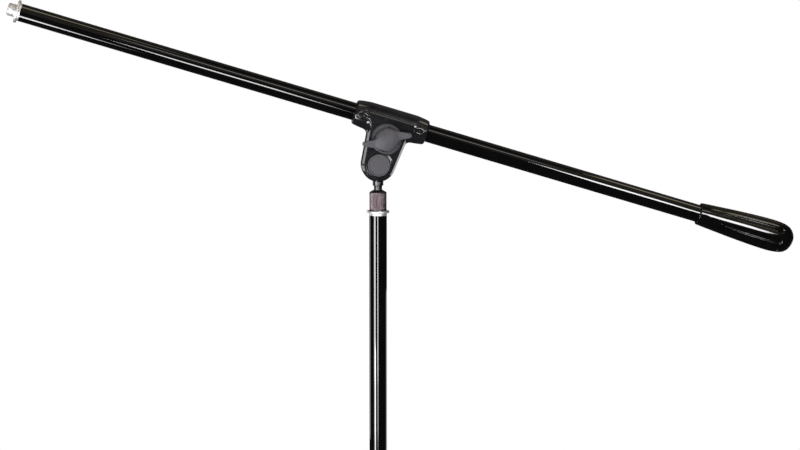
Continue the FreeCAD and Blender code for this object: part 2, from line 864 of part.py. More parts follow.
def make_friction_washers():
    """Two washers, one each side of the eye."""
    body = new_body("friction_washers")
    body.AllowCompound = True
    outer = eye_radius - 2.5
    inner_face = eye_thickness / 2 + running_gap
    thickness = cheek_inner - inner_face
    for sign in (1, -1):
        sketch = new_sketch(body, "XZ_Plane", out=inner_face * sign)
        draw_circle(sketch, 0, 0, outer)
        draw_circle(sketch, 0, 0, pin_radius + running_gap)
        extrude(body, sketch, thickness, backwards=sign < 0)
    return place(body, 0, pivot_height, boom_tilt)


def make_pivot_hardware():
    """Headed pin, the disc that covers its head, and the nut behind."""
    head_radius, head_height = 9, 1.2
    nut_height, nut_across_flats = 4, 15
    pin = turned("pivot_pin", "Y", [
        (0, -seat_floor - head_height),
        (head_radius, -seat_floor - head_height),
        (head_radius, -seat_floor),
        (pin_radius, -seat_floor),
        (pin_radius, seat_floor + nut_height),
        (0, seat_floor + nut_height),
    ])
    cap_face = cheek_outer + 1.4
    rim_round, rim_width, dish_side, dish = 0.7, 1.8, 2.2, 0.4
    cap = turned("pivot_cap", "Y", [
        (0, -seat_floor - head_height),
        (head_radius + 0.1, -seat_floor - head_height),
        (head_radius + 0.1, -seat_floor),
        (cap_radius, -seat_floor),
        (cap_radius, rim_round - cap_face),
        (cap_radius - rim_round, -cap_face, rim_round, "left"),
        (cap_radius - rim_width, -cap_face),
        (cap_radius - dish_side, dish - cap_face),
        (0, dish - cap_face),
    ])
    nut = new_body("pivot_nut")
    sketch = new_sketch(nut, "XZ_Plane", out=-seat_floor)
    hexagon(sketch, 0, 0, nut_across_flats)
    draw_circle(sketch, 0, 0, pin_radius)
    extrude(nut, sketch, nut_height, backwards=True)
    return [place(piece, 0, pivot_height, boom_tilt) for piece in (pin, cap, nut)]


def make_clamp_bolt():
    """Carriage bolt: domed head behind, square neck, and a shank that ends in the knob."""
    head_seat = boss_face - bolt_head_depth
    neck_end = head_seat - bolt_neck_depth
    shank_end = -(boss_face + 11)
    lead = 0.8
    head_radius = as_size(8.6)
    head_rim, head_top = head_seat + 0.8, head_seat + 3.4
    body = turned("clamp_bolt", "Y", [
        (0, shank_end),
        (bolt_radius - lead, shank_end),
        (bolt_radius, shank_end + lead),
        (bolt_radius, head_seat),
        (head_radius, head_seat),
        (head_radius, head_rim),
        (0, head_top, dome_radius(head_radius, head_top - head_rim), "right"),
    ])
    neck = new_sketch(body, "XZ_Plane", out=-neck_end)
    draw_square(neck, 0, bolt_neck_half)
    extrude(body, neck, bolt_neck_depth, backwards=True)
    return place(body, bolt_x, bolt_z, boom_tilt)


def make_clamp_spring():
    """Open coil round the bolt, between the two castings."""
    coil_radius = 4.95
    wire_radius = 0.55
    turns = 5
    half_length = cheek_inner - wire_radius - 0.05
    body = new_body("clamp_spring")
    section = new_sketch(body, "XY_Plane")
    draw_circle(section, coil_radius, -half_length, wire_radius)
    coil = body.newObject("PartDesign::AdditiveHelix", "clamp_spring_feature")
    coil.Profile = section
    coil.ReferenceAxis = ([item for item in body.Origin.OriginFeatures if item.Role == "Y_Axis"][0], [""])
    coil.Mode = "pitch-height-angle"
    bind(coil, "Pitch", half_length * 2 / turns)
    bind(coil, "Height", half_length * 2)
    settle(body, coil, 0, removes=False)
    return place(body, bolt_x, bolt_z, boom_tilt)


def make_knob_washer():
    washer_radius = 9
    return place(turned("knob_washer", "Y", tube_profile(
        bolt_radius + 0.2, washer_radius, -boss_face - knob_washer_thickness, -boss_face)),
        bolt_x, bolt_z, boom_tilt)


# ---------------------------------------------------------------- wing knob

knob_back = boss_face + knob_washer_thickness + face_gap
insert_radius = 6.5
insert_depth = 9


def make_wing_knob():
    """Thick domed disc with two low wings, each a wedge like a propeller's blade."""
    wing_back = knob_back + 1.5
    wing_thickness = 7.5
    wing_inset, chamfer = 1, 1
    dome_foot = 9.5
    body = turned("wing_knob", "Y", [
        (0, -knob_back),
        (knob_radius - chamfer, -knob_back),
        (knob_radius, -knob_back - chamfer),
        (knob_radius, -knob_back - dome_foot),
        (0, -knob_back - knob_height, dome_radius(knob_radius, knob_height - dome_foot), "left"),
    ])
    wing = new_sketch(body, "XZ_Plane", out=wing_back)
    tip_start = wing_reach - wing_tip_radius
    tip_half = wing_tip_radius - 0.1
    hollow_start, hollow_side, hollow_curve = 13.4, -4.2, 60
    draw_outline(wing, [
        (0, knob_radius - wing_inset),
        (tip_start + 0.5, tip_half),
        (tip_start - 0.5, -tip_half, wing_tip_radius, "left"),
        (hollow_start, hollow_side, hollow_curve, "right"),
        (0, 0),
    ])
    pad = extrude(body, wing, wing_thickness)
    repeat_round(body, [pad], "Y_Axis", 2, removes=False)
    bolt_hole = bolt_radius + 0.5
    hole_end = insert_depth + 3
    turn_profile(body, "Y", [
        (0, -knob_back),
        (insert_radius, -knob_back),
        (insert_radius, -knob_back - insert_depth),
        (bolt_hole, -knob_back - insert_depth),
        (bolt_hole, -knob_back - hole_end),
        (0, -knob_back - hole_end),
    ], removes=True)
    return place(body, bolt_x, bolt_z, boom_tilt - wing_angle)


def make_knob_insert():
    """Brass insert moulded into the knob, threaded on the bolt."""
    return place(turned("knob_insert", "Y", tube_profile(
        bolt_radius + running_gap, insert_radius, -knob_back - insert_depth, -knob_back)),
        bolt_x, bolt_z, boom_tilt)


# ---------------------------------------------------------------- boom

def on_boom(body):
    return place(body, boom_centre_x, boom_centre_z, boom_tilt)


def make_boom_liner():
    """Split nylon sleeve that lies between the head's two lips."""
    end = sleeve_half - bore_lip - 0.3
    body = turned("boom_liner", "X", tube_profile(tube_radius + running_gap, liner_radius, -end, end))
    slit_width = 1.2
    far, slit_bottom, slit_top = 60, 5, 20
    slit = new_sketch(body, "XZ_Plane", out=as_size(-slit_width / 2))
    draw_box(slit, -far, slit_bottom, far, slit_top)
    extrude(body, slit, slit_width, removes=True, backwards=True)
    return on_boom(body)


weight_bore_end = weight_start + 25
weight_stud_length = 18
insert_plug_length = 22


def make_boom_tube():
    return on_boom(turned("boom_tube", "X", tube_profile(
        tube_bore, tube_radius, -boom_mic_end, weight_bore_end)))


def make_mic_thread_insert():
    """Chrome insert at the boom's upper end, where a microphone clip screws on."""
    profile = insert_profile(tube_bore, insert_plug_length, tube_radius, mic_stud_length, flange_radius)
    return on_boom(turned("mic_thread_insert", "X", [
        (radius, -boom_mic_end - along) for radius, along in profile]))


def make_counterweight():
    """Bullet of cast iron: flat front rim, long swelling side and a round end, fluted lengthwise."""
    end = weight_start + weight_length
    bore, bore_chamfer, rim_round = tube_radius + 0.05, 0.6, 0.8
    side_curve, shoulder_curve = 1200, 150
    widest = end - 30.5
    shoulder_radius, shoulder_length = as_size(19.6), as_size(20)
    tip_clearance = 3
    body = turned("counterweight", "X", [
        (bore, weight_start + bore_chamfer),
        (bore + bore_chamfer, weight_start),
        (weight_front_radius - rim_round, weight_start),
        (weight_front_radius, weight_start + rim_round, rim_round, "right"),
        (weight_radius, widest, side_curve, "right"),
        (shoulder_radius, end - shoulder_length, shoulder_curve, "right"),
        (0, end, dome_radius(shoulder_radius, shoulder_length), "right"),
        (0, weight_bore_end + weight_stud_length + tip_clearance),
        (bolt_radius, weight_bore_end + weight_stud_length + 1),
        (bolt_radius, weight_bore_end),
        (bore, weight_bore_end),
    ])
    cut_flutes(body)
    return on_boom(body)


def cut_flutes(body):
    """Eight flutes along the counterweight, pointed in front and round behind."""
    flute_count = 8
    point, full_width, finish = weight_start + 28, weight_start + 62, weight_start + 111
    half_width, point_curve = 3.0, 200
    flute = new_sketch(body, "XY_Plane")
    sideways = -flute_depth_radius * sine(flute_turn)
    upwards = flute_depth_radius * cosine(flute_turn)
    flute.AttachmentOffset.Rotation = FreeCAD.Rotation(FreeCAD.Vector(1, 0, 0), flute_turn.value)
    flute.AttachmentOffset.Base = FreeCAD.Vector(0, sideways.value, upwards.value)
    bind(flute, ".AttachmentOffset.Rotation.Angle", flute_turn)
    bind(flute, ".AttachmentOffset.Base.y", sideways)
    bind(flute, ".AttachmentOffset.Base.z", upwards)
    draw_outline(flute, [
        (point, 0, point_curve, "left"),
        (full_width, half_width, point_curve, "left"),
        (finish, half_width),
        (finish, -half_width, half_width + 0.01, "left"),
        (full_width, -half_width),
    ])
    cut = extrude(body, flute, 10, removes=True, backwards=True)
    repeat_round(body, [cut], "X_Axis", flute_count, removes=True)


def make_counterweight_insert():
    """Plug pressed into the boom's lower end, with the stud that the counterweight screws on."""
    plug_end = weight_bore_end - insert_plug_length
    stud_end = weight_bore_end + weight_stud_length
    return on_boom(turned("counterweight_insert", "X", [
        (0, plug_end),
        (tube_bore, plug_end),
        (tube_bore, weight_bore_end),
        (bolt_radius, weight_bore_end),
        (bolt_radius, stud_end),
        (0, stud_end),
    ]))


# ---------------------------------------------------------------- assembly

pieces = [make_base_plate(), make_base_ring_pad()]
pieces += make_base_lock()
pieces += make_lower_column()
pieces += [make_clutch_body(), make_clutch_collet(), make_clutch_grip()]
pieces += make_upper_tube()
pieces += [make_mast_guide(), make_coupling_nut(), make_swivel_washer(), make_swivel_spindle()]
pieces += [make_clamp_half("clamp_front", front=True), make_clamp_half("clamp_rear", front=False)]
pieces += [make_boss_ring(), make_friction_washers()]
pieces += make_pivot_hardware()
pieces += [make_clamp_bolt(), make_clamp_spring(), make_knob_washer()]
pieces += [make_wing_knob(), make_knob_insert()]
pieces += [make_boom_liner(), make_boom_tube(), make_mic_thread_insert()]
pieces += [make_counterweight_insert(), make_counterweight()]
doc.recompute()

for thing in doc.Objects:
    if failed(thing):
        raise RuntimeError(f"{thing.Label} failed to recompute")
for piece in pieces:
    if piece.Shape.isNull() or not piece.Shape.isValid() or not piece.Shape.Solids:
        raise RuntimeError(f"{piece.Label} has no valid solid")

os.makedirs("parts", exist_ok=True)
for piece in pieces:
    piece.Shape.exportStep(os.path.join("parts", f"{piece.Label}.step"))
    print(f"{piece.Label}: {len(piece.Shape.Solids)} solid, {piece.Shape.Volume / 1000:.2f} cm3")
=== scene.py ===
import json
import math

import bpy
import numpy as np
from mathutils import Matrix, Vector


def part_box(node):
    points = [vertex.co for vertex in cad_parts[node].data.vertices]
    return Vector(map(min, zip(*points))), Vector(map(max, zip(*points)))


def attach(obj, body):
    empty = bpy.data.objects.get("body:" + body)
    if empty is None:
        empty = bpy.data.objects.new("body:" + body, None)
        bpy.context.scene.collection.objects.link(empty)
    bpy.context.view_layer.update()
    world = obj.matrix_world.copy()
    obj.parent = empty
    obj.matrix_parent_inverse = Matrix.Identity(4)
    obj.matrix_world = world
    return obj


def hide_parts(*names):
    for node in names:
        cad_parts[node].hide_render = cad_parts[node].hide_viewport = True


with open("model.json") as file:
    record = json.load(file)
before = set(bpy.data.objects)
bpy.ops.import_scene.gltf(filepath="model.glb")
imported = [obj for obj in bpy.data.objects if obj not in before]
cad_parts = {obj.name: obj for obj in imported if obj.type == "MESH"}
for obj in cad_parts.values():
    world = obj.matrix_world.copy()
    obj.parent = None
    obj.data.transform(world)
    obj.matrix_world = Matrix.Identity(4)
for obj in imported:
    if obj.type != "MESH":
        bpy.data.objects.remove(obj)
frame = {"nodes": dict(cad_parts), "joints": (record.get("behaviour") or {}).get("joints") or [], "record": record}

# The visual model of a boom microphone stand. Local shapes are in millimetres and the scene is in metres.
MM = 0.001
TURN = 2 * math.pi
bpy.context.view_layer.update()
joints = {joint["name"]: joint for joint in frame["joints"]}
slot_of = {part["node"]: part["material_slot"] for part in frame["record"]["subparts"]}


# ---------------------------------------------------------------- local frames

class Place:
    """A local frame: an origin in metres and three unit directions."""

    def __init__(self, origin, first, second, third):
        self.origin = np.array(origin, float)
        self.directions = np.array([first, second, third], float)

    def to_world(self, local):
        return self.origin + MM * (np.asarray(local, float) @ self.directions)


boom_direction = np.array(joints["boom_roll"]["axis"])
boom_up = np.array([-boom_direction[2], 0, boom_direction[0]])
towards_back = np.array([0, 1.0, 0])
pivot_point = joints["head_tilt"]["pos_m"]
boom_point = joints["boom_roll"]["pos_m"]
bolt_point = joints["knob_turn"]["pos_m"]
head_place = Place(pivot_point, boom_direction, towards_back, boom_up)
boom_rise = (np.array(boom_point) - pivot_point) @ boom_up / MM
bolt_rise = (np.array(bolt_point) - pivot_point) @ boom_up / MM

# frames of turned parts, whose first direction is the axis
upright_place = Place((0, 0, 0), (0, 0, 1), (1, 0, 0), (0, 1, 0))
boom_place = Place(boom_point, boom_direction, (0, -1, 0), boom_up)
mic_place = Place(boom_point, -boom_direction, (0, -1, 0), boom_up)
pivot_place = Place(pivot_point, (0, -1, 0), boom_direction, boom_up)


# ---------------------------------------------------------------- mesh helpers

def make_piece(name, vertices, faces, body, nodes, sharp=None, normals=None):
    """A smooth-shaded mesh that rides on a body, and stands for CAD nodes in the finish of the first.

    Sharp is the angle of a hard edge."""
    slot = slot_of[nodes[0]]
    mesh = bpy.data.meshes.new(name)
    mesh.from_pydata(vertices.tolist(), [], faces)
    mesh.validate()
    mesh.shade_smooth()
    if sharp is not None:
        mesh.set_sharp_from_angle(angle=math.radians(sharp))
    if normals is not None:
        mesh.normals_split_custom_set_from_vertices(normals.tolist())
    mesh.materials.append(looks[slot])
    piece = bpy.data.objects.new(name, mesh)
    bpy.context.scene.collection.objects.link(piece)
    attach(piece, body)
    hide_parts(*nodes)


def rounded(corners, closed):
    """Corners (radius, along, rounding) as a fine line, with support points beside each rounding."""
    steps = 5
    count = len(corners)
    line = []
    for index, corner in enumerate(corners):
        here = np.array(corner[:2], float)
        rounding = corner[2] if len(corner) > 2 else 0.0
        at_end = not closed and index in (0, count - 1)
        if rounding == 0 or at_end:
            line.append(here)
            continue
        before = np.array(corners[index - 1][:2], float) - here
        after = np.array(corners[(index + 1) % count][:2], float) - here
        reach_before = min(rounding, 0.45 * np.linalg.norm(before))
        reach_after = min(rounding, 0.45 * np.linalg.norm(after))
        start = here + before / np.linalg.norm(before) * reach_before
        end = here + after / np.linalg.norm(after) * reach_after
        for step in range(steps + 1):
            s = step / steps
            line.append((1 - s) ** 2 * start + 2 * s * (1 - s) * here + s ** 2 * end)
    return np.array(line)


def divided(line, closed, step):
    """The line with its long runs cut into pieces no longer than step, or supported near their ends."""
    support = 0.25
    points = []
    count = len(line)
    for index in range(count if closed else count - 1):
        start = line[index]
        end = line[(index + 1) % count]
        length = np.linalg.norm(end - start)
        points.append(start)
        if step and length > step:
            parts = int(math.ceil(length / step))
            points.extend(start + (end - start) * k / parts for k in range(1, parts))
        elif length > 4 * support:
            points.append(start + (end - start) * support / length)
            points.append(end - (end - start) * support / length)
    if not closed:
        points.append(line[-1])
    return np.array(points)


def turned(name, place, corners, body, nodes, closed=True,
           segments=96, step=None, relief=None, sharp=35, warp=None):
    """A part turned about its frame's first axis.

    Relief changes the radius, and warp the turn angle, from (radius, along, turn angle)."""
    line = divided(rounded(corners, closed), closed, step)
    angle = np.arange(segments) / segments * TURN
    radius, turn = np.meshgrid(line[:, 0], angle, indexing="ij")
    along = np.repeat(line[:, 1:2], segments, axis=1)
    if warp is not None:
        turn = warp(radius, along, turn)
    if relief is not None:
        radius = relief(radius, along, turn)
    local = np.stack([along, radius * np.cos(turn), radius * np.sin(turn)], axis=-1)
    rows = len(line)
    vertices = place.to_world(local.reshape(-1, 3))
    faces = []
    pole_start = not closed and line[0][0] < 1e-6
    pole_end = not closed and line[-1][0] < 1e-6
    last = rows if closed else rows - 1
    for row in range(last):
        below = row * segments
        above = (row + 1) % rows * segments
        for k in range(segments):
            j = (k + 1) % segments
            if row == 0 and pole_start:
                faces.append((below, above + j, above + k))
            elif row == last - 1 and pole_end:
                faces.append((below + k, below + j, above))
            else:
                faces.append((below + k, below + j, above + j, above + k))
    used = np.unique(np.concatenate([np.array(face) for face in faces]))
    renumber = np.full(len(vertices), -1)
    renumber[used] = np.arange(len(used))
    faces = [tuple(int(renumber[i]) for i in face) for face in faces]
    vertices = vertices[used]
    faces = facing_out(vertices, faces)
    make_piece(name, vertices, faces, body, nodes, sharp)


def swept(name, place, path, radius, body, nodes):
    """A round bead of one radius along a closed path, given in the frame of its place."""
    around = 24
    outward = (0, 1, 0)
    forward = np.roll(path, -1, axis=0) - np.roll(path, 1, axis=0)
    forward /= np.linalg.norm(forward, axis=1, keepdims=True)
    side = np.cross(forward, outward)
    side /= np.linalg.norm(side, axis=1, keepdims=True)
    lift = np.cross(side, forward)
    angle = np.arange(around)[None, :, None] / around * TURN
    local = path[:, None] + radius * (side[:, None] * np.cos(angle) + lift[:, None] * np.sin(angle))
    vertices = place.to_world(local.reshape(-1, 3))
    here = np.arange(len(path))[:, None] * around
    ahead = np.roll(here, -1, axis=0)
    k = np.arange(around)[None, :]
    following = (k + 1) % around
    quads = np.stack([here + k, here + following, ahead + following, ahead + k], axis=-1).reshape(-1, 4)
    faces = facing_out(vertices, [tuple(quad) for quad in quads.tolist()])
    make_piece(name, vertices, faces, body, nodes)


def facing_out(vertices, faces):
    """The faces of a closed mesh, turned round if they enclose a negative volume."""
    corners = [face[:3] for face in faces]
    corners += [(face[0], face[2], face[3]) for face in faces if len(face) == 4]
    first, second, third = (vertices[column] - vertices[0] for column in np.array(corners).T)
    volume = np.einsum("ij,ij->", first, np.cross(second, third))
    return faces if volume > 0 else [face[::-1] for face in faces]


def smooth_min(a, b, blend):
    """The smaller of two distances, with a rounded corner between them."""
    overlap = np.maximum(blend - np.abs(a - b), 0) / blend
    return np.minimum(a, b) - overlap * overlap * blend / 4


def smooth_max(a, b, blend):
    return -smooth_min(-a, -b, blend)


def rising(distance, length):
    """0 up to the start, 1 beyond the length, and a straight rise between them."""
    return np.clip(distance / length, 0, 1)


def slope_of(distance, vertices, probe):
    """Gradient of a distance function at each vertex."""
    x, y, z = vertices.T
    return np.stack([
        distance(x + probe, y, z) - distance(x - probe, y, z),
        distance(x, y + probe, z) - distance(x, y - probe, z),
        distance(x, y, z + probe) - distance(x, y, z - probe)], axis=-1) / (2 * probe)


def surface_net(distance, low, high, step):
    """Vertices and quads of the surface where distance is zero: one vertex in each cell that it crosses."""
    settling_moves, probe, least_slope = 4, 0.02, 0.5
    axes = [np.arange(start, end + step, step) for start, end in zip(low, high)]
    grid = np.meshgrid(*axes, indexing="ij")
    values = distance(*grid)
    inside = values < 0
    cells = tuple(size - 1 for size in values.shape)

    def corner(i, j, k, source):
        return source[i:i + cells[0], j:j + cells[1], k:k + cells[2]]

    offsets = [(i, j, k) for i in (0, 1) for j in (0, 1) for k in (0, 1)]
    held = sum(corner(*offset, inside).astype(np.int8) for offset in offsets)
    mixed = (held > 0) & (held < 8)
    number = np.full(cells, -1)
    number[mixed] = np.arange(mixed.sum())

    # a vertex starts at the mean of the crossings on its cell's edges
    total = np.zeros((mixed.sum(), 3))
    count = np.zeros(mixed.sum())
    base = np.argwhere(mixed)
    for axis in range(3):
        for a in (0, 1):
            for b in (0, 1):
                start = np.insert([a, b], axis, 0)
                end = start.copy()
                end[axis] = 1
                v0 = values[tuple((base + start).T)]
                v1 = values[tuple((base + end).T)]
                crossed = (v0 < 0) != (v1 < 0)
                share = np.where(crossed, v0 / np.where(v0 == v1, 1, v0 - v1), 0)
                point = base + start + share[:, None] * (end - start)
                total += np.where(crossed[:, None], point, 0)
                count += crossed
    vertices = np.array(low) + step * total / count[:, None]

    # then moves on to the surface itself
    for _ in range(settling_moves):
        here = distance(*vertices.T)
        slope = slope_of(distance, vertices, probe)
        size = np.maximum((slope ** 2).sum(axis=1), least_slope ** 2)
        move = -(here / size)[:, None] * slope
        vertices = vertices + np.clip(move, -step / 2, step / 2)

    quads = []
    for axis in range(3):
        second, third = (axis + 1) % 3, (axis + 2) % 3
        before = np.take(inside, range(0, inside.shape[axis] - 1), axis)
        after = np.take(inside, range(1, inside.shape[axis]), axis)
        for start_inside in (True, False):
            edges = np.argwhere((before != after) & (before == start_inside))
            keep = (edges[:, second] > 0) & (edges[:, third] > 0)
            keep &= (edges[:, second] < cells[second]) & (edges[:, third] < cells[third])
            edges = edges[keep]
            ring = []
            for back_second, back_third in ((1, 1), (0, 1), (0, 0), (1, 0)):
                cell = edges.copy()
                cell[:, second] -= back_second
                cell[:, third] -= back_third
                ring.append(number[tuple(cell.T)])
            quads.append(np.stack(ring if start_inside else ring[::-1], axis=-1))
    return vertices, np.concatenate(quads)


# ---------------------------------------------------------------- materials

def node(tree, kind, **settings):
    made = tree.nodes.new(kind)
    for key, value in settings.items():
        setattr(made, key, value)
    return made


def noise(tree, scale, detail=3.0, stretch=None):
    """Noise in the object's own coordinates, in features per metre. Stretch scales each axis."""
    place = node(tree, "ShaderNodeTexCoord")
    source = place.outputs["Object"]
    if stretch is not None:
        mapping = node(tree, "ShaderNodeMapping")
        mapping.inputs["Scale"].default_value = stretch
        tree.links.new(source, mapping.inputs["Vector"])
        source = mapping.outputs["Vector"]
    texture = node(tree, "ShaderNodeTexNoise")
    texture.inputs["Scale"].default_value = scale
    texture.inputs["Detail"].default_value = detail
    texture.inputs["Roughness"].default_value = 0.55
    tree.links.new(source, texture.inputs["Vector"])
    return texture.outputs["Fac"]


def ramp(tree, source, low, high):
    """Source mapped to a blend of two colours."""
    made = node(tree, "ShaderNodeValToRGB")
    first, last = made.color_ramp.elements
    first.position, last.position = 0.3, 0.7
    first.color = (*low, 1)
    last.color = (*high, 1)
    tree.links.new(source, made.inputs["Fac"])
    return made.outputs["Color"]


def spread(tree, source, low, high, start=0.3, end=0.7):
    """Source mapped to a range of values."""
    made = node(tree, "ShaderNodeMapRange")
    made.inputs["From Min"].default_value = start
    made.inputs["From Max"].default_value = end
    made.inputs["To Min"].default_value = low
    made.inputs["To Max"].default_value = high
    tree.links.new(source, made.inputs["Value"])
    return made.outputs["Result"]


def finish_material(name, dark, light, roughness, metallic=0.0, mottle=60.0, grain=1500.0,
                    relief=0.02, worn=None, stretch=None):
    """A finish with mottled colour, uneven gloss, fine relief, and wear on its edges."""
    worn_from, worn_to, most_worn = 0.53, 0.62, 0.8
    material = bpy.data.materials.new(name)
    material.use_nodes = True
    tree = material.node_tree
    shader = tree.nodes["Principled BSDF"]
    shader.inputs["Metallic"].default_value = metallic
    colour = ramp(tree, noise(tree, mottle, stretch=stretch), dark, light)
    if worn is not None:
        edges = node(tree, "ShaderNodeNewGeometry")
        bare = node(tree, "ShaderNodeMix", data_type="RGBA")
        amount = spread(tree, edges.outputs["Pointiness"], 0.0, most_worn, worn_from, worn_to)
        bright = tuple(channel * 1.2 for channel in worn)
        tree.links.new(amount, bare.inputs["Factor"])
        tree.links.new(colour, bare.inputs["A"])
        tree.links.new(ramp(tree, noise(tree, mottle * 6), worn, bright), bare.inputs["B"])
        colour = bare.outputs["Result"]
    tree.links.new(colour, shader.inputs["Base Color"])
    gloss = spread(tree, noise(tree, mottle * 3, stretch=stretch), *roughness)
    tree.links.new(gloss, shader.inputs["Roughness"])
    bump = node(tree, "ShaderNodeBump")
    bump.inputs["Distance"].default_value = relief * MM
    tree.links.new(noise(tree, grain, detail=2.0, stretch=stretch), bump.inputs["Height"])
    tree.links.new(bump.outputs["Normal"], shader.inputs["Normal"])
    return material


finishes = {
    "gloss_black_tube": dict(
        dark=(0.0008, 0.0008, 0.001), light=(0.0018, 0.0018, 0.0022), roughness=(0.03, 0.06),
        grain=420, relief=0.0025, mottle=25),
    "head_casting": dict(
        dark=(0.006, 0.006, 0.0072), light=(0.012, 0.012, 0.0142), roughness=(0.11, 0.15),
        grain=120, relief=0.0003, worn=(0.014, 0.014, 0.015)),
    "weight_casting": dict(
        dark=(0.0009, 0.0009, 0.001), light=(0.0024, 0.0022, 0.002), roughness=(0.06, 0.1),
        grain=120, relief=0.0008),
    "cast_black": dict(
        dark=(0.008, 0.008, 0.0085), light=(0.02, 0.02, 0.021), roughness=(0.4, 0.6),
        grain=1400, relief=0.12, worn=(0.05, 0.05, 0.052)),
    "chrome_trim": dict(
        dark=(0.8, 0.8, 0.81), light=(0.92, 0.92, 0.92), roughness=(0.38, 0.46), metallic=0.85,
        grain=2500, relief=0.001),
    "zinc_steel": dict(
        dark=(0.42, 0.42, 0.43), light=(0.6, 0.6, 0.59), roughness=(0.28, 0.42), metallic=1.0,
        grain=2500, relief=0.008),
    "clutch_metal": dict(
        dark=(0.5, 0.5, 0.52), light=(0.68, 0.68, 0.7), roughness=(0.16, 0.3), metallic=1.0,
        grain=2500, relief=0.004),
    "coupling_metal": dict(
        dark=(0.045, 0.034, 0.037), light=(0.235, 0.185, 0.2), roughness=(0.32, 0.48), metallic=1.0,
        mottle=700, grain=3500, relief=0.03, stretch=(1, 1, 0.12)),
    "spindle_steel": dict(
        dark=(0.06, 0.06, 0.065), light=(0.13, 0.13, 0.14), roughness=(0.26, 0.34), metallic=1.0,
        mottle=400, grain=2500, relief=0.003),
    "grey_plastic": dict(
        dark=(0.05, 0.048, 0.056), light=(0.068, 0.065, 0.076), roughness=(0.55, 0.66),
        mottle=350, grain=2200, relief=0.03, worn=(0.11, 0.105, 0.118)),
    "grip_plastic": dict(
        dark=(0.012, 0.012, 0.013), light=(0.022, 0.022, 0.024), roughness=(0.4, 0.55),
        mottle=200, grain=2400, relief=0.04, worn=(0.05, 0.05, 0.052)),
    "nylon": dict(
        dark=(0.66, 0.65, 0.6), light=(0.78, 0.77, 0.72), roughness=(0.35, 0.5),
        mottle=120, grain=1800, relief=0.01),
    "pad_rubber": dict(
        dark=(0.012, 0.012, 0.012), light=(0.022, 0.022, 0.022), roughness=(0.7, 0.85),
        mottle=120, grain=1800, relief=0.06),
    "spring_steel": dict(
        dark=(0.35, 0.35, 0.36), light=(0.5, 0.5, 0.52), roughness=(0.25, 0.4), metallic=1.0,
        mottle=300, grain=2500, relief=0.006),
    "insert_brass": dict(
        dark=(0.55, 0.4, 0.16), light=(0.7, 0.52, 0.24), roughness=(0.25, 0.4), metallic=1.0,
        mottle=300, grain=2500, relief=0.006),
}
looks = {name: finish_material(name, **finish) for name, finish in finishes.items()}


def dress_cad_nodes():
    """Every CAD node gets its slot's finish, for those that keep their own mesh."""
    for name, piece in frame["nodes"].items():
        piece.data.materials.clear()
        piece.data.materials.append(looks[slot_of[name]])
        piece.data.shade_smooth()
        piece.data.set_sharp_from_angle(angle=math.radians(32))


# ---------------------------------------------------------------- camera, floor and lights

def add_camera():
    """Long lens, a little to the left of the stand and above its head."""
    azimuth, elevation = math.radians(-4.2), math.radians(6.2)
    distance = 2.9
    target = Vector((0.0277, 0, 1.1816))
    towards = Vector((
        math.sin(azimuth) * math.cos(elevation),
        -math.cos(azimuth) * math.cos(elevation),
        math.sin(elevation)))
    data = bpy.data.cameras.new("camera")
    data.sensor_width = 36
    data.lens = 103.7
    camera = bpy.data.objects.new("camera", data)
    bpy.context.scene.collection.objects.link(camera)
    camera.location = target + towards * distance
    camera.rotation_euler = (-towards).to_track_quat("-Z", "Y").to_euler()
    bpy.context.scene.camera = camera


def add_world():
    """White behind the object and dim around it."""
    world = bpy.data.worlds.new("studio")
    world.use_nodes = True
    bpy.context.scene.world = world
    tree = world.node_tree
    tree.nodes.clear()
    output = node(tree, "ShaderNodeOutputWorld")
    path = node(tree, "ShaderNodeLightPath")
    mix = node(tree, "ShaderNodeMixShader")
    dim = node(tree, "ShaderNodeBackground")
    dim.inputs["Color"].default_value = (1, 1, 1, 1)
    dim.inputs["Strength"].default_value = 0.035
    white = node(tree, "ShaderNodeBackground")
    white.inputs["Color"].default_value = (1, 1, 1, 1)
    tree.links.new(path.outputs["Is Camera Ray"], mix.inputs["Fac"])
    tree.links.new(dim.outputs["Background"], mix.inputs[1])
    tree.links.new(white.outputs["Background"], mix.inputs[2])
    tree.links.new(mix.outputs["Shader"], output.inputs["Surface"])


def add_floor():
    """A plain pale round floor."""
    radius, segments = 2.0, 128
    turns = [TURN * k / segments for k in range(segments)]
    ring = [(radius * math.cos(turn), radius * math.sin(turn), 0.0) for turn in turns]
    mesh = bpy.data.meshes.new("floor")
    mesh.from_pydata(ring, [], [tuple(range(segments))])
    mesh.materials.append(finish_material(
        "floor_paper", (0.84, 0.84, 0.83), (0.88, 0.88, 0.87), (0.7, 0.8),
        mottle=4, grain=300, relief=0.05))
    floor = bpy.data.objects.new("floor", mesh)
    bpy.context.scene.collection.objects.link(floor)
    floor.visible_glossy = False


def panel(name, centre, aim, width, height, radiance, glossy=True, colour=(1, 1, 1)):
    """A rectangular light that faces its aim and doesn't show to the camera."""
    data = bpy.data.lights.new(name, "AREA")
    data.color = colour
    data.shape = "RECTANGLE"
    data.size = width
    data.size_y = height
    data.energy = radiance * 4 * width * height
    light = bpy.data.objects.new(name, data)
    bpy.context.scene.collection.objects.link(light)
    light.location = centre
    direction = Vector(aim) - Vector(centre)
    light.rotation_euler = direction.to_track_quat("-Z", "Y").to_euler()
    light.visible_camera = False
    light.visible_glossy = glossy


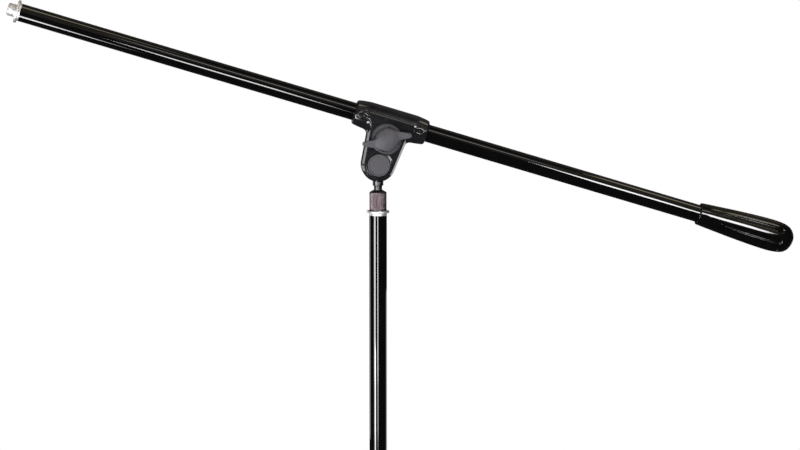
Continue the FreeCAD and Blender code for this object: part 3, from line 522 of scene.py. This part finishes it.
def add_lights():
    head = (0.0, 0.0, 1.27)
    level = 16.0
    warm = (1.0, 0.88, 0.66)
    # low panels in front and at the left, dimmer towards the floor: the long highlights of the boom's middle
    # and of the mast
    front_x, front_y, front_width = -0.375, -3.0, 0.47
    side_x, side_y, side_width, side_level = -2.2, -2.05, 1.15, level * 0.8
    for top, bottom, share in ((0.95, 0.45, 1.0), (0.45, 0.3, 0.6), (0.3, 0.15, 0.2), (0.15, 0.03, 0.06)):
        middle = (top + bottom) / 2
        panel(f"front_left_{bottom}", (front_x, front_y, middle), (front_x, 0, middle),
              front_width, top - bottom, level * share)
        panel(f"side_left_{bottom}", (side_x, side_y, middle), (0, 0, middle),
              side_width, top - bottom, side_level * share)
    # high panel in front, dimmer towards its right: the boom's lower end and the counterweight
    high_y, high_z = -1.4, 1.54
    for left, right, height, share in ((0.565, 0.865, 0.4, 1.25), (0.865, 0.965, 0.22, 0.9),
                                       (0.965, 1.085, 0.12, 0.4), (1.085, 1.205, 0.12, 0.15)):
        middle = (left + right) / 2
        panel(f"front_right_{left}", (middle, high_y, high_z), (middle, 0, high_z),
              right - left, height, level * share)
    # low panel, dimmer towards its far end: the boom's upper end
    low_x, low_y, low_z = -1.155, -1.028, 0.46
    run_x, run_y = 0.913, -0.408
    aim_x, aim_y, aim_z = 0.5, 1.12, 1.45
    low_height, low_level = 0.75, 15.0
    for near, far, share in ((0.0, 0.3, 1.2), (0.3, 0.335, 0.7), (0.335, 0.37, 0.4), (0.37, 0.395, 0.15)):
        middle = (near + far) / 2
        centre = (low_x + run_x * middle, low_y + run_y * middle, low_z)
        aim = (centre[0] + aim_x, centre[1] + aim_y, aim_z)
        panel(f"low_left_{near}", centre, aim, far - near, low_height, low_level * share)
    # dim strips overhead: the thin lines along the boom's upper side
    panel("overhead_front", (0.72, -2.07, 3.31), (0.0, 0, 1.3), 1.2, 0.3, 3.0)
    panel("overhead_left", (0.0, -0.45, 3.8), (-0.4, 0, 1.42), 0.7, 0.7, 2.4, colour=warm)
    panel("overhead_right", (1.95, -0.12, 3.8), (0.4, 0, 1.2), 0.9, 0.7, 2.4, colour=warm)
    # behind at both sides: the sloped flanks of the head
    panel("back_right", (1.37, 1.59, 0.56), head, 1.2, 0.5, 1.3)
    panel("back_left", (-1.8, 1.26, 1.45), head, 1.0, 0.4, 1.7)
    panel("back_left_low", (-1.45, 1.44, 0.8), head, 0.8, 0.6, 1.4)
    # a wide warm glow from above: the brown cast on the paint's upper side
    panel("ceiling_glow", (0.3, -1.9, 3.0), head, 3.6, 2.2, 0.2, colour=warm)
    panel("ceiling_back", (0.3, 1.5, 3.2), head, 3.6, 2.5, 0.1, colour=warm)
    # soft fill that doesn't mirror in the paint
    panel("fill_top", (0, -0.6, 3.4), (0, 0, 0), 2.5, 2.5, 0.9, glossy=False)
    panel("fill_front", (0.2, -3.2, 1.6), head, 2.0, 1.6, 0.25, glossy=False)


# ---------------------------------------------------------------- tubes, inserts and sculpted pieces

TUBE_RADIUS = 11.1
TUBE_WALL = 1.2
LOWER_TUBE_WALL = 1.5
BOOM_TUBE_ENDS = (-477.2, 434.0)
STUD_RADIUS = 7.94
THREAD_PITCH = 25.4 / 27


def node_box(name):
    """A CAD node's box, in millimetres."""
    low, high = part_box(name)
    return np.array(low) / MM, np.array(high) / MM


def make_tube(name, place, along, outer, wall, body):
    start, end = along
    edge = 0.35
    turned(f"{name}_skin", place, [
        (outer, start, edge), (outer, end, edge), (outer - wall, end, edge), (outer - wall, start, edge)],
        body, (name,), segments=160)


def thread_relief(start, end):
    """Helical thread between two heights, fading out at its ends."""
    depth, fade_length = 0.16, 0.9
    flank_slope, crest_height = 1.15, 0.85
    same_radius, same_height = 0.3, 1e-6

    def relief(radius, along, turn):
        phase = (along / THREAD_PITCH - turn / TURN) % 1.0
        crest = 1 - np.abs(2 * phase - 1) * flank_slope
        crest = np.clip(crest, 0, crest_height) / crest_height
        fade = rising(along - start, fade_length) * rising(end - along, fade_length)
        threaded = (along > start - same_height) & (along < end + same_height)
        threaded &= np.abs(radius - STUD_RADIUS) < same_radius
        return np.where(threaded, radius - depth * (1 - crest) * fade, radius)
    return relief


def make_thread_insert(name, place, flange_front, stud_end, thread_end, body):
    """Threaded stud, flange, collar and the tail inside the tube, along the stud."""
    bore, tail_radius, flange_radius = 4.0, 9.9, 14.25
    flange_back = flange_front - 2.8
    collar_back = flange_back - 3.1
    tail_end = flange_front - 27.9
    turned(f"{name}_skin", place, [
        (bore, stud_end, 0.4), (STUD_RADIUS - 0.8, stud_end, 0.3), (STUD_RADIUS, stud_end - 0.9, 0.2),
        (STUD_RADIUS, flange_front, 0.15), (flange_radius, flange_front, 0.6),
        (flange_radius, flange_back, 0.6), (TUBE_RADIUS, flange_back, 0.2),
        (TUBE_RADIUS, collar_back, 0.2), (tail_radius, collar_back, 0.1),
        (tail_radius, tail_end, 0.4), (bore, tail_end, 0.3)],
        body, (name,), step=0.16, relief=thread_relief(flange_front + 0.3, thread_end))


def fine_piece(name, place, distance, low, high, step, body):
    """A cast or moulded part from its distance function, in place of its CAD node."""
    normal_probe = 0.12
    vertices, quads = surface_net(distance, low, high, step)
    faces = [tuple(quad) for quad in quads.tolist()]
    normals = slope_of(distance, vertices, normal_probe) @ place.directions
    normals /= np.maximum(np.linalg.norm(normals, axis=1, keepdims=True), 1e-6)
    vertices = place.to_world(vertices)
    faces = facing_out(vertices, faces)
    make_piece(f"{name}_skin", vertices, faces, body, (name,), normals=normals)


# ---------------------------------------------------------------- boom head

CHEEK_FACE = 17.6
BOSS_FACE = 21.0
BOSS_RADIUS = 19.6
SPIGOT_RADIUS = 12.0
CAP_RADIUS = 14.0
SLEEVE_HALF = 47.4
OVAL_CENTRE, OVAL_HALF_LENGTH, OVAL_HALF_HEIGHT = 36.5, 6.6, 3.3
OVAL_BEAD, OVAL_SUNK = 2.6, 2.0
DISC_RIM_OUTER = 18.2


def cheek_distance(x, z, depth):
    """A cheek: round foot, sides leaning out towards the sleeve, and flanks sloping back from the face."""
    foot_radius = 21.5
    lean = math.atan2(3.3, 30.9)
    slope = math.radians(22)
    edge_depth = 9.0
    on_side = np.abs(x) * math.sin(lean) + z * math.cos(lean) > 0
    side = np.abs(x) * math.cos(lean) - z * math.sin(lean) - foot_radius
    outline = np.where(on_side, side, np.hypot(x, z) - foot_radius)
    flank = outline * math.cos(slope) + (depth - edge_depth) * math.sin(slope)
    cheek = smooth_max(outline, flank, 1.2)
    return np.maximum(cheek, z - boom_rise - 1)


def sleeve_radius(x):
    """Outer radius of the sleeve: straight in the middle, drawn in towards its ends."""
    straight = 27.0
    middle_radius, end_radius = 17.6, 15.0
    share = rising(np.abs(x) - straight, SLEEVE_HALF - straight)
    return middle_radius - (middle_radius - end_radius) * share ** 1.7


def sleeve_distance(x, z, depth):
    """The sleeve round the boom."""
    outer = sleeve_radius(x)
    around = np.hypot(depth, z - boom_rise)
    barrel = smooth_max(around - outer, np.abs(x) - SLEEVE_HALF, 3.0)
    # a shallow dimple inside the oval on the boom's axis near each end
    dimple_depth = 0.7
    across, along = (z - boom_rise) / OVAL_HALF_HEIGHT, (np.abs(x) - OVAL_CENTRE) / OVAL_HALF_LENGTH
    size = np.maximum(np.hypot(across, along), 0.2)
    stretch = np.hypot(across / OVAL_HALF_HEIGHT, along / OVAL_HALF_LENGTH) / size
    oval = (size - 1) / np.maximum(stretch, 0.1)
    dimple = smooth_max(oval, outer - dimple_depth - around, 0.6)
    return smooth_max(barrel, -dimple, 0.6)


def boss_cone(around_bolt, depth):
    """Cone round the bolt, from the cheek's face to the boss's."""
    boss_foot, boss_rim = CHEEK_FACE - 0.3, 16.6
    run = np.array([BOSS_RADIUS - boss_rim, BOSS_FACE - boss_foot])
    run /= np.linalg.norm(run)
    cone = (around_bolt - BOSS_RADIUS) * run[1] + (depth - boss_foot) * run[0]
    return smooth_max(smooth_max(cone, around_bolt - BOSS_RADIUS, 0.6), depth - BOSS_FACE, 0.9)


def boss_ring_distance(x, y, z):
    """Plastic ring on the front boss, notched where the disc's bead passes."""
    depth = -y
    around_bolt = np.hypot(x, z - bolt_rise)
    ring = np.maximum(boss_cone(around_bolt, depth), CHEEK_FACE - 0.3 - depth)
    ring = np.maximum(ring, SPIGOT_RADIUS + 0.05 - around_bolt)
    groove_inner, groove_outer, groove_depth = 13.4, 15.9, 1.6
    groove = np.maximum(groove_inner - around_bolt, around_bolt - groove_outer)
    ring = smooth_max(ring, -np.maximum(groove, BOSS_FACE - groove_depth - depth), 0.4)
    notch = np.maximum(np.hypot(x, z) - DISC_RIM_OUTER - 0.15, depth - CHEEK_FACE - 1.15)
    return smooth_max(ring, -notch, 0.3)


def casting_distance(x, y, z, front):
    """One half of the head."""
    wall_start, seat_floor = 10, 14.6
    depth = np.abs(y)
    body = smooth_min(cheek_distance(x, z, depth), sleeve_distance(x, z, depth), 7.0)
    around_bolt = np.hypot(x, z - bolt_rise)
    around_pivot = np.hypot(x, z)
    if front:
        boss_wall = np.maximum(around_bolt - BOSS_RADIUS, wall_start - depth)
        body = smooth_max(smooth_min(body, boss_wall, 1.4), depth - CHEEK_FACE, 0.9)
        spigot = smooth_max(around_bolt - SPIGOT_RADIUS, depth - BOSS_FACE, 0.5)
        body = np.minimum(body, np.maximum(spigot, wall_start - depth))
        seat = smooth_max(around_pivot - CAP_RADIUS - 0.9, seat_floor - depth, 0.3)
        body = smooth_max(body, -seat, 0.5)
        inward = -y
    else:
        nut_seat_radius = 10
        bolt_head_radius, bolt_head_height = 9.2, 5
        body = smooth_max(body, depth - CHEEK_FACE, 0.9)
        body = smooth_min(body, np.maximum(boss_cone(around_bolt, depth), wall_start - depth), 1.4)
        nut_seat = np.maximum(around_pivot - nut_seat_radius, seat_floor - depth)
        body = smooth_max(body, -nut_seat, 0.6)
        head_seat = np.maximum(around_bolt - bolt_head_radius, BOSS_FACE - bolt_head_height - depth)
        body = smooth_max(body, -head_seat, 0.6)
        inward = depth
    # the liner's bore between two lips, and the space for the eye and the spring
    liner_radius, lip_radius, lip = 12.45, 11.6, 2.4
    around_boom = np.hypot(y, z - boom_rise)
    bore = np.minimum(np.maximum(around_boom - liner_radius, np.abs(x) - SLEEVE_HALF + lip),
                      around_boom - lip_radius)
    body = smooth_max(body, -bore, 0.5)
    pocket_half, pocket_drop = 20.3, 14.05
    space_top, space_half = 15, 7.2
    pocket = np.maximum(np.abs(x) - pocket_half, z - (boom_rise - pocket_drop))
    space = np.maximum(np.minimum(pocket, z - space_top), depth - space_half)
    body = smooth_max(body, -space, 0.8)
    # the holes for the bolt and the pin, and the gap at the parting face
    bolt_hole_radius, pin_hole_radius, parting_gap = 4.3, 5.0, 0.5
    body = np.maximum(body, bolt_hole_radius - around_bolt)
    body = np.maximum(body, pin_hole_radius - around_pivot)
    return smooth_max(body, parting_gap - inward, 0.6)


def make_castings():
    reach = SLEEVE_HALF + 1.5
    bottom, top = -23, boom_rise + 19
    fine_piece("clamp_front", head_place,
               lambda x, y, z: casting_distance(x, y, z, True),
               (-reach, -22.5, bottom), (reach, 0.5, top), 0.47, "head")
    fine_piece("clamp_rear", head_place,
               lambda x, y, z: np.maximum(casting_distance(x, y, z, False), -y),
               (-reach, -0.6, bottom), (reach, 22.5, top), 0.6, "head")


def make_beads():
    """The crisp rounded edges on the castings: round the disc's seat, and round each oval."""
    rim_root, crest = CHEEK_FACE - 0.8, CHEEK_FACE + 0.8
    turned("disc_rim", pivot_place, [
        (CAP_RADIUS + 0.9, rim_root), (CAP_RADIUS + 0.9, crest - 0.1, 0.2), (CAP_RADIUS + 1.5, crest, 0.3),
        (DISC_RIM_OUTER, CHEEK_FACE - 0.05, 0.2), (DISC_RIM_OUTER, rim_root)],
        "head", ("clamp_front",), segments=180)
    turn = np.arange(180) / 180 * TURN
    along = OVAL_CENTRE + OVAL_HALF_LENGTH * np.cos(turn)
    across = OVAL_HALF_HEIGHT * np.sin(turn)
    depth = np.sqrt((sleeve_radius(along) - OVAL_SUNK) ** 2 - across ** 2)
    for casting, out in (("clamp_front", -1), ("clamp_rear", 1)):
        for end, side in (("upper", -1), ("lower", 1)):
            path = np.stack([side * along, out * depth, boom_rise + across], axis=-1)
            swept(f"{casting}_{end}_oval", head_place, path, OVAL_BEAD, "head", (casting,))


def make_boss_ring():
    reach = BOSS_RADIUS + 1
    fine_piece("boss_ring", head_place, boss_ring_distance,
               (-reach, -22, bolt_rise - reach), (reach, -16.5, bolt_rise + reach), 0.32, "head")


def make_pivot_cap():
    """The disc over the pivot, with a raised rim and a shallow dished face."""
    face = CHEEK_FACE + 1.4
    turned("pivot_cap_skin", pivot_place, [
        (0, 13.4), (9.1, 13.4), (9.1, 14.6, 0.1), (CAP_RADIUS, 14.6, 0.3), (CAP_RADIUS, face, 0.6),
        (CAP_RADIUS - 1.5, face, 0.4), (CAP_RADIUS - 1.9, face - 0.75, 0.3), (0, face - 0.55)],
        "head", ("pivot_cap",), closed=False, segments=128, step=1.5)


def make_wing_knob():
    """Thick domed disc with two low wings, each a wedge like a propeller's blade."""
    back = BOSS_FACE + 1.1
    dome_radius, dome_height, dome_foot = 14.4, 14.5, 9.5
    crown = dome_height - dome_foot
    sphere = (dome_radius ** 2 + crown ** 2) / (2 * crown)
    tip_half, tip_start = 3.2, 28.1
    edge_top = 13.6
    edge_rise = edge_top - tip_half
    edge_length = math.hypot(tip_start, edge_rise)
    wing_middle, wing_half = back + 5.8, 3.8
    insert_radius, insert_depth = 6.5, 9
    bolt_radius, bolt_depth = 4.5, 12

    def wing(u, v):
        """Outline of one wing: a flat lower edge, a sloping upper edge and a round tip."""
        top_edge = (u * edge_rise + (v - edge_top) * tip_start) / edge_length
        tip = np.hypot(u - tip_start, v) - tip_half
        blade = smooth_max(top_edge, -v - tip_half, 0.5)
        return np.where(u > tip_start, tip, blade)

    def distance(u, depth, v):
        around = np.hypot(u, v)
        crown_side = np.hypot(around, depth - back - dome_height + sphere) - sphere
        dome = smooth_max(crown_side, around - dome_radius, 3.0)
        dome = smooth_max(dome, back - depth, 0.9)
        outline = np.minimum(np.maximum(wing(u, v), -u), np.maximum(wing(-u, -v), u))
        fall = 0.05 * np.maximum(around - dome_radius, 0)
        wings = smooth_max(outline, np.abs(depth - wing_middle + fall) - wing_half, 1.8)
        body = smooth_min(dome, wings, 3.4)
        insert_hole = np.maximum(around - insert_radius, depth - back - insert_depth)
        bolt_hole = np.maximum(around - bolt_radius, depth - back - bolt_depth)
        return smooth_max(body, -np.minimum(insert_hole, bolt_hole), 0.3)

    tilt = math.radians(10.5)
    along = np.array([math.cos(tilt), 0, math.sin(tilt)])
    across = np.array([-math.sin(tilt), 0, math.cos(tilt)])
    place = Place(bolt_point, along, (0, -1, 0), across)
    reach, half_height = 33, 17
    fine_piece("wing_knob", place, distance,
               (-reach, back - 1, -half_height), (reach, back + 16, half_height), 0.5, "knob")


# ---------------------------------------------------------------- threads, coupling and counterweight

def make_thread_inserts():
    mast_end = node_box("mast_thread_insert")[1][2]
    make_thread_insert("mast_thread_insert", upright_place, mast_end - 16, mast_end, mast_end - 0.9, "mast")
    make_thread_insert("mic_thread_insert", mic_place, 482.3, 492.75, 491.9, "boom")


def make_coupling():
    """Nut with a straight fine knurl and a chamfered top."""
    low, high = node_box("coupling_nut")
    bottom, top = low[2], high[2]
    outer, tooth_count, tooth_depth = 10.75, 64, 0.28
    plain_bottom, plain_top = 0.9, 3.3

    def knurl(radius, along, turn):
        cut = 0.5 - 0.5 * np.cos(turn * tooth_count)
        fade = rising(along - bottom - plain_bottom, 0.8) * rising(top - plain_top - along, 0.6)
        return np.where(radius > outer - 0.05, radius - tooth_depth * cut ** 1.5 * fade, radius)

    turned("coupling_nut_skin", upright_place, [
        (8.79, bottom, 0.2), (outer, bottom, 0.6), (outer, top - 2.8, 0.3),
        (6.15, top, 0.3), (5.25, top, 0.1), (5.25, bottom + 20.2, 0.1), (8.49, bottom + 20.2, 0.1),
        (8.49, bottom + 13.4, 0.1), (7.99, bottom + 13.4, 0.1), (7.99, bottom + 0.8, 0.1)],
        "coupling", ("coupling_nut",), segments=512, step=1.2, relief=knurl, sharp=50)


def make_counterweight():
    """Bullet-shaped weight with eight lengthwise flutes, pointed in front and round behind."""
    flute_phase = math.radians(-12.6)
    pitch = TURN / 8
    flute_start, flute_end, half_width = 437.0, 520.0, 3.9
    widening, wall_share, depth_share = 34, 0.45, 0.45
    least_share, quarter, least_radius = 0.04, 0.25, 13

    def half_angle(radius, along):
        """Half of a flute's width, as a turn angle."""
        share = rising(along - flute_start, widening)
        taper = share * (1.5 - 0.5 * share)
        ending = np.clip(1 - ((along - flute_end + half_width) / half_width) ** 2, 0, 1) ** 0.5
        width = half_width * taper * np.where(along > flute_end - half_width, ending, 1)
        return width / np.maximum(radius, 10)

    def follow_flutes(radius, along, turn):
        """Turn angles whose lines lie along the flutes' edges."""
        number = np.floor(turn / pitch)
        away = (turn / pitch - number) - 0.5
        half = np.maximum(half_angle(radius, along), least_share * pitch)
        inner = half * np.abs(away) / quarter
        outer = half + (pitch / 2 - half) * (np.abs(away) - quarter) / quarter
        return flute_phase + number * pitch + np.sign(away) * np.where(np.abs(away) < quarter, inner, outer)

    def flutes(radius, along, turn):
        away = (turn - flute_phase + pitch / 2) % pitch - pitch / 2
        half = half_angle(radius, along)
        inside = (along > flute_start) & (along < flute_end) & (radius > least_radius)
        rise = np.clip((1 - np.abs(away) / np.maximum(half, 1e-4)) / wall_share, 0, 1)
        hollow = rise * rise * (3 - 2 * rise)
        return np.where(inside, radius - depth_share * half * radius * hollow, radius)

    turned("counterweight_skin", boom_place, [
        (0, 455), (4.0, 453, 0.1), (4.0, 434, 0.1), (11.15, 434, 0.1), (11.15, 409.6, 0.2), (11.7, 409, 0.1),
        (13.95, 409, 0.9), (14.5, 415, 3), (15.0, 420, 3), (15.95, 433, 6), (17.1, 447, 6), (17.9, 458, 5),
        (18.45, 467, 4), (18.95, 475, 4), (19.45, 485, 5), (19.9, 498, 6), (20.0, 508, 5), (19.2, 518.6, 4),
        (17.8, 524.6, 3), (15.5, 529.1, 2.5), (12.1, 532.4, 2), (8.4, 534.7, 2), (4.2, 535.9, 2), (0, 536.2)],
        "boom", ("counterweight",), closed=False, segments=320, step=0.6,
        relief=flutes, warp=follow_flutes, sharp=50)


# ---------------------------------------------------------------- base and clutch

def make_grip():
    """Grip with twelve rounded grooves and fine ribs between them."""
    low, high = node_box("clutch_grip")
    bottom, top = low[2], high[2]
    outer, groove_count, rib_count = 22.5, 12, 96
    groove_half, groove_depth, rib_depth = 2.6, 1.25, 0.22
    ribs_start, ribs_fade = 2.9, 0.5
    cut_start, cut_end, cut_radius = 3, 46, 19

    def grooves(radius, along, turn):
        pitch = TURN / groove_count
        away = (turn + pitch / 2) % pitch - pitch / 2
        groove = np.clip(1 - (np.abs(away) * outer / groove_half) ** 2, 0, 1) ** 0.6
        rib = 0.5 - 0.5 * np.cos(turn * rib_count)
        flat = rising(np.abs(away) * outer - ribs_start, ribs_fade)
        fade = rising(along - bottom - cut_start, 2) * rising(bottom + cut_end - along, 4)
        cut = fade * (groove_depth * groove + rib_depth * rib * flat)
        return np.where(radius > cut_radius, radius - cut, radius)

    turned("clutch_grip_skin", upright_place, [
        (17.65, bottom, 0.2), (outer, bottom, 1.4), (outer, bottom + 52, 6), (20.6, bottom + 61, 6),
        (17.2, bottom + 71, 3), (15.5, top, 1.2), (11.7, top, 0.4), (11.7, bottom + 49.1, 0.2),
        (17.65, bottom + 49.1, 0.2)],
        "clutch_ring", ("clutch_grip",), segments=576, step=1.5, relief=grooves, sharp=50)


def make_base():
    """Round cast base: rolled rim, shallow dome and a hub, hollow below."""
    low, high = node_box("base_plate")
    radius, bottom, top = high[0], low[2], high[2]
    turned("base_plate_skin", upright_place, [
        (8.0, top, 0.4), (25, top, 2.2), (25, 32, 6), (29, 27, 6), (60, 22, 20), (108, 18.9, 20),
        (radius - 4.5, 13.2, 5), (radius, 8.5, 3), (radius, bottom + 2, 1), (radius - 2, bottom, 0.8),
        (140.05, bottom, 0.2), (140.05, bottom + 2.05, 0.2),
        (127.95, bottom + 2.05, 0.2), (127.95, bottom, 0.2),
        (124, bottom, 1), (120, 7.5, 3), (30, 11.5, 3), (24, bottom + 1, 2), (17, bottom + 1, 1),
        (17, bottom + 12, 0.5), (8.0, bottom + 12, 0.3)],
        "base", ("base_plate",), segments=224, step=3.0)


# ---------------------------------------------------------------- the scene

dress_cad_nodes()
add_camera()
add_world()
add_floor()
add_lights()
bpy.context.scene.view_settings.view_transform = "Standard"

make_tube("boom_tube", boom_place, BOOM_TUBE_ENDS, TUBE_RADIUS, TUBE_WALL, "boom")
mast_low, mast_high = node_box("upper_tube")
make_tube("upper_tube", upright_place, (mast_low[2], mast_high[2]), TUBE_RADIUS, TUBE_WALL, "mast")
lower_low, lower_high = node_box("lower_tube")
make_tube("lower_tube", upright_place, (lower_low[2], lower_high[2]), lower_high[0], LOWER_TUBE_WALL, "base")
make_castings()
make_beads()
make_boss_ring()
make_pivot_cap()
make_wing_knob()
make_thread_inserts()
make_coupling()
make_counterweight()
make_grip()
make_base()
